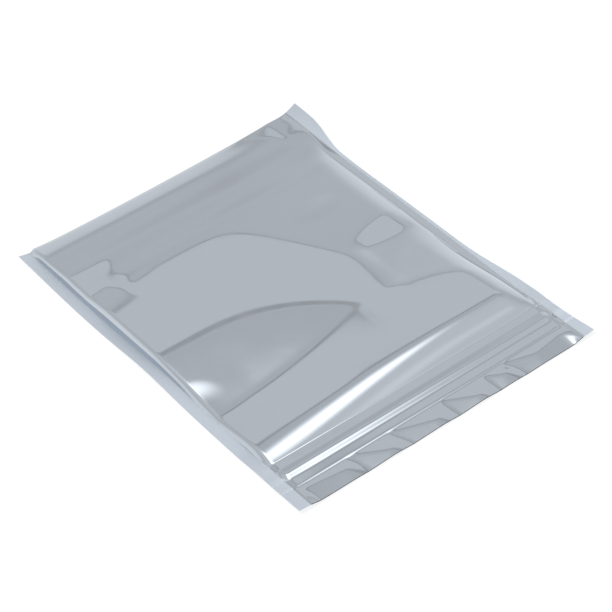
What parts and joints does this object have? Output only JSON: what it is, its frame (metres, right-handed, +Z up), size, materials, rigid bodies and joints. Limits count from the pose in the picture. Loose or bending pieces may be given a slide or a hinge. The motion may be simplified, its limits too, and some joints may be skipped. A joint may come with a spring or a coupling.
{
  "type": "anti static shielding bag",
  "caption": "Flat resealable static shielding bag of metallised film: folded closed end, heat-sealed sides, a press-to-close zip below the mouth, lying empty and closed.",
  "frame": {"origin": "on the surface that the bag lies on, under the middle of the bag", "axes": "+X across the bag, +Y from the mouth to the folded end, +Z up out of the front wall"},
  "size_m": [0.164, 0.2247, 0.006],
  "materials": {
    "metallised_film": "metallised polyester and polyethylene laminate, near mirror gloss, silver blue-grey",
    "zip_strip": "clear low-density polyethylene extrusion"
  },
  "bodies": {
    "root": {"film_pouch": "metallised_film", "zip_rib_strip": "zip_strip", "zip_channel_strip": "zip_strip"}
  },
  "joints": []
}
